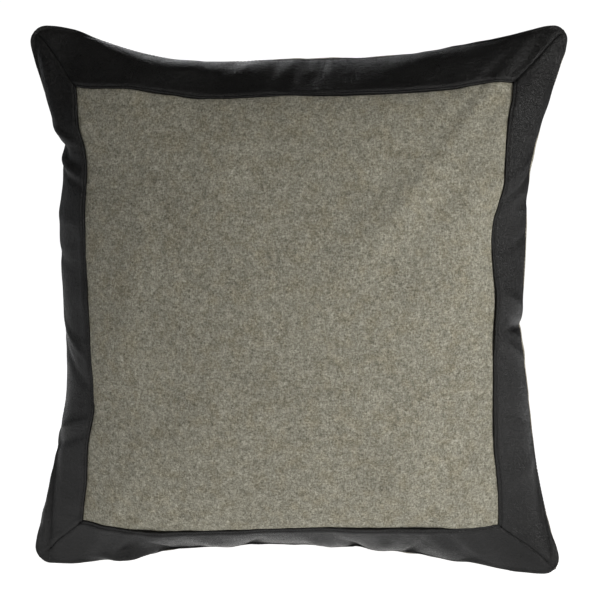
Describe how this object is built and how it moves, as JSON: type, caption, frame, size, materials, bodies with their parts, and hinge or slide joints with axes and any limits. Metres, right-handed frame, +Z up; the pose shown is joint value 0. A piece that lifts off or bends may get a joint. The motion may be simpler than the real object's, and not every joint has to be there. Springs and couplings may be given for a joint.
{
  "type": "throw pillow",
  "caption": "Square knife-edge throw pillow: wool front panel in a mitred leather frame, wool back, concealed zip in the bottom seam, feather insert.",
  "frame": {"origin": "on the surface it stands on, under the middle of the pillow", "axes": "+Z up the face, -Y out of the wool and leather front, +X to the right of someone facing the front"},
  "size_m": [0.4902, 0.1736, 0.5037],
  "materials": {
    "wool_front": "matte",
    "wool_back": "matte",
    "leather": "satin",
    "thread": "satin",
    "zip_tape": "matte",
    "zip_coil": "satin",
    "zip_metal": "satin",
    "cambric": "matte",
    "filling": "matte",
    "label": "matte"
  },
  "bodies": {
    "cover": {"front_panel": "wool_front", "back_panel": "wool_back", "border_top": "leather", "border_right": "leather", "border_bottom": "leather", "border_left": "leather", "edge_stitch_top": "thread", "edge_stitch_right": "thread", "edge_stitch_bottom": "thread", "edge_stitch_left": "thread", "mitre_stitch_tl": "thread", "mitre_stitch_tr": "thread", "mitre_stitch_br": "thread", "mitre_stitch_bl": "thread", "perimeter_seam": "thread", "zip_tape_front": "zip_tape", "zip_tape_back": "zip_tape", "zip_coil_front": "zip_coil", "zip_coil_back": "zip_coil", "zip_stop_start": "zip_metal", "zip_stop_end": "zip_metal", "insert_case_front": "cambric", "insert_case_back": "cambric", "insert_seam": "cambric", "insert_fill": "filling", "care_label": "label"},
    "zip_slider": {"zip_slider": "zip_metal"},
    "zip_pull": {"zip_pull": "zip_metal"}
  },
  "joints": [
    {"name": "zip_travel", "type": "hinge", "parent": "cover", "child": "zip_slider", "pos_m": [0, 0, -0.9185], "axis": [0, 1, 0], "range_deg": [0, 20.11]},
    {"name": "pull_swing", "type": "hinge", "parent": "zip_slider", "child": "zip_pull", "pos_m": [-0.16386, 0, 0.00538], "axis": [0, 1, 0], "range_deg": [0, 172]}
  ]
}
